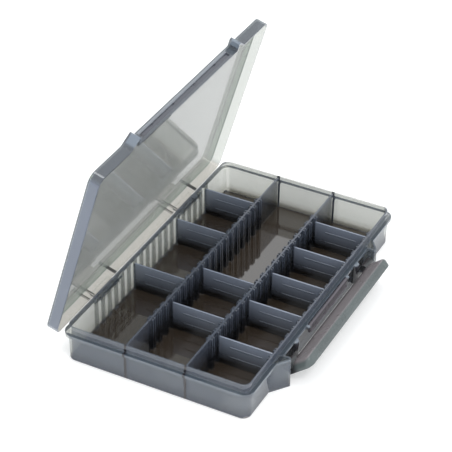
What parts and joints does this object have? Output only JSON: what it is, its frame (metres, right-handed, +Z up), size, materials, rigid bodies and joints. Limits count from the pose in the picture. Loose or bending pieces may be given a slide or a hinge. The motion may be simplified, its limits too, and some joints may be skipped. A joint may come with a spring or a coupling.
{
  "type": "parts sorting tray",
  "caption": "Flat rectangular parts case with a hinged lid, walled lanes split by lift-out dividers, a front latch flap and a folding carrying handle.",
  "frame": {"origin": "centre of the base's flat underside", "axes": "+X along the long side, -Y towards the handle and latch, +Z up"},
  "size_m": [0.38, 0.2784, 0.2628],
  "materials": {
    "tray_plastic": "translucent smoke grey, moulded",
    "lid_plastic": "translucent smoke grey, glossy",
    "divider_plastic": "translucent smoke blue grey, satin",
    "latch_plastic": "dark smoke grey, moulded",
    "handle_plastic": "smoke grey, fine ribs on the grip",
    "pin_metal": "plain steel wire"
  },
  "bodies": {
    "tray": {"base_tray": "tray_plastic", "hinge_pin_left": "pin_metal", "hinge_pin_right": "pin_metal", "latch_pin": "pin_metal"},
    "lid": {"lid": "lid_plastic"},
    "latch": {"latch_flap": "latch_plastic"},
    "handle": {"handle": "handle_plastic"},
    "divider_front_1": {"divider_front_1": "divider_plastic"},
    "divider_front_2": {"divider_front_2": "divider_plastic"},
    "divider_front_3": {"divider_front_3": "divider_plastic"},
    "divider_front_4": {"divider_front_4": "divider_plastic"},
    "divider_front_5": {"divider_front_5": "divider_plastic"},
    "divider_middle_1": {"divider_middle_1": "divider_plastic"},
    "divider_middle_2": {"divider_middle_2": "divider_plastic"},
    "divider_back_1": {"divider_back_1": "divider_plastic"},
    "divider_back_2": {"divider_back_2": "divider_plastic"},
    "divider_back_3": {"divider_back_3": "divider_plastic"}
  },
  "joints": [
    {"name": "lid_hinge", "type": "hinge", "parent": "tray", "child": "lid", "pos_m": [0, 0.1125, 0.0295], "axis": [-1, 0, 0], "range_deg": [-74, 36]},
    {"name": "latch_hinge", "type": "hinge", "parent": "tray", "child": "latch", "pos_m": [0, -0.1155, 0.0335], "axis": [1, 0, 0], "range_deg": [-180, 0]},
    {"name": "handle_hinge", "type": "hinge", "parent": "tray", "child": "handle", "pos_m": [0, -0.118, 0.0204], "axis": [1, 0, 0], "range_deg": [-51, 39]},
    {"name": "divider_front_1_lift", "type": "slide", "parent": "tray", "child": "divider_front_1", "axis": [0, 0, 1], "range_m": [0, 0.045]},
    {"name": "divider_front_2_lift", "type": "slide", "parent": "tray", "child": "divider_front_2", "axis": [0, 0, 1], "range_m": [0, 0.045]},
    {"name": "divider_front_3_lift", "type": "slide", "parent": "tray", "child": "divider_front_3", "axis": [0, 0, 1], "range_m": [0, 0.045]},
    {"name": "divider_front_4_lift", "type": "slide", "parent": "tray", "child": "divider_front_4", "axis": [0, 0, 1], "range_m": [0, 0.045]},
    {"name": "divider_front_5_lift", "type": "slide", "parent": "tray", "child": "divider_front_5", "axis": [0, 0, 1], "range_m": [0, 0.045]},
    {"name": "divider_middle_1_lift", "type": "slide", "parent": "tray", "child": "divider_middle_1", "axis": [0, 0, 1], "range_m": [0, 0.045]},
    {"name": "divider_middle_2_lift", "type": "slide", "parent": "tray", "child": "divider_middle_2", "axis": [0, 0, 1], "range_m": [0, 0.045]},
    {"name": "divider_back_1_lift", "type": "slide", "parent": "tray", "child": "divider_back_1", "axis": [0, 0, 1], "range_m": [0, 0.045]},
    {"name": "divider_back_2_lift", "type": "slide", "parent": "tray", "child": "divider_back_2", "axis": [0, 0, 1], "range_m": [0, 0.045]},
    {"name": "divider_back_3_lift", "type": "slide", "parent": "tray", "child": "divider_back_3", "axis": [0, 0, 1], "range_m": [0, 0.045]}
  ]
}
